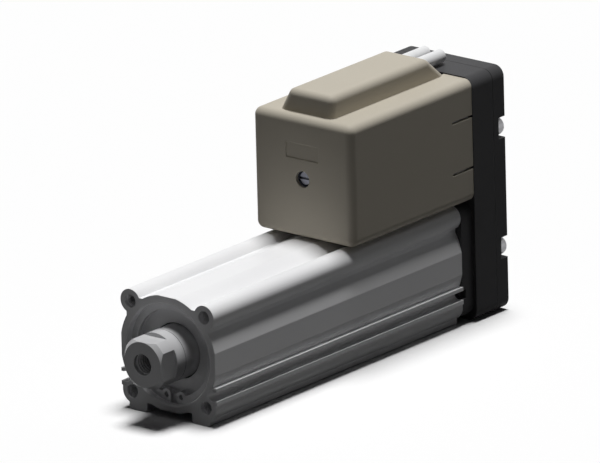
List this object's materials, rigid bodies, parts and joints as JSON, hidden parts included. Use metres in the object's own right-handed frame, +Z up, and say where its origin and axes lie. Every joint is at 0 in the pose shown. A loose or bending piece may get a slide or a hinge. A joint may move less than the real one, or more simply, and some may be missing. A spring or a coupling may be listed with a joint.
{
  "type": "electric rod actuator",
  "caption": "Slim electric rod actuator: an extruded aluminium tube with a thrust rod at its front, and a step motor under a moulded cover above it, joined by a belt case at the rear.",
  "frame": {"origin": "on the rod axis, in the plane of the tube's front mounting face", "axes": "the rod comes out towards -Y, +Y runs to the belt case at the rear, +Z is up towards the motor, +X is the right-hand side seen from the front"},
  "size_m": [0.046, 0.1818, 0.1008],
  "materials": {
    "extruded_aluminium": "satin, clear anodised",
    "black_anodised": "satin black",
    "cover_plastic": "moulded, fine grain",
    "turned_aluminium": "turned",
    "hard_chrome": "ground and polished",
    "spring_steel": "phosphated",
    "screw_steel": "zinc plated",
    "bearing_steel": "ground",
    "pulley_aluminium": "machined",
    "bell_aluminium": "die cast",
    "motor_laminations": "black enamel over steel sheets",
    "black_rubber": "matte",
    "bearing_bronze": "sintered",
    "magnet": "bonded magnet",
    "slide_plastic": "moulded",
    "encoder_plastic": "moulded",
    "circuit_board": "solder mask",
    "cable_jacket": "smooth pale jacket"
  },
  "bodies": {
    "housing": {"tube_body": "extruded_aluminium", "bearing_housing": "black_anodised", "return_box": "black_anodised", "return_plate": "black_anodised", "motor_cover": "cover_plastic", "rod_cover": "turned_aluminium", "retaining_ring": "spring_steel", "return_plate_screws": "screw_steel", "tube_screws": "screw_steel", "motor_mount_screws": "screw_steel", "motor_body_screws": "screw_steel", "screw_bearing_outer_ring": "bearing_steel", "screw_bearing_balls": "bearing_steel", "motor_bearing_outer_rings": "bearing_steel", "bearing_retainer": "bearing_steel", "motor_front_bell": "bell_aluminium", "motor_rear_bell": "bell_aluminium", "motor_stator": "motor_laminations", "cover_o_ring": "black_rubber", "rod_scraper": "black_rubber", "front_bumper": "black_rubber", "rear_bumper": "black_rubber", "timing_belt": "black_rubber", "cable_grommet": "black_rubber", "rod_bush": "bearing_bronze", "encoder_cap": "encoder_plastic", "encoder_board": "circuit_board", "encoder_lead": "cable_jacket", "motor_lead": "cable_jacket"},
    "rod": {"piston_rod": "hard_chrome", "rod_socket": "hard_chrome", "piston": "turned_aluminium", "screw_nut": "bearing_steel", "magnet_ring": "magnet", "rotation_stopper": "slide_plastic"},
    "screw": {"lead_screw": "bearing_steel", "screw_tip_holder": "turned_aluminium", "screw_tip_ring": "slide_plastic", "screw_bearing_inner_ring": "bearing_steel", "bearing_lock_nut": "bearing_steel", "screw_pulley": "pulley_aluminium", "screw_pulley_set_screw": "screw_steel"},
    "motor_spindle": {"motor_shaft": "bearing_steel", "motor_rotor": "motor_laminations", "motor_bearing_inner_rings": "bearing_steel", "override_screw": "screw_steel", "encoder_disc": "turned_aluminium", "motor_pulley": "pulley_aluminium", "motor_pulley_set_screw": "screw_steel"}
  },
  "joints": [
    {"name": "rod_slide", "type": "slide", "parent": "housing", "child": "rod", "axis": [0, -1, 0], "range_m": [0, 0.05], "deforming": ["timing_belt"]},
    {"name": "screw_spin", "type": "hinge", "parent": "housing", "child": "screw", "pos_m": [0, 0, 0], "axis": [0, 1, 0], "range_deg": [0, 3001], "deforming": ["timing_belt"]},
    {"name": "motor_spin", "type": "hinge", "parent": "housing", "child": "motor_spindle", "pos_m": [0, 0, 0.045], "axis": [0, 1, 0], "range_deg": [0, 3001], "deforming": ["timing_belt"]}
  ],
  "couplings": [
    {"joint": "screw_spin", "follows": "rod_slide", "rad_per_m": 1047.2},
    {"joint": "motor_spin", "follows": "rod_slide", "rad_per_m": 1047.2}
  ]
}
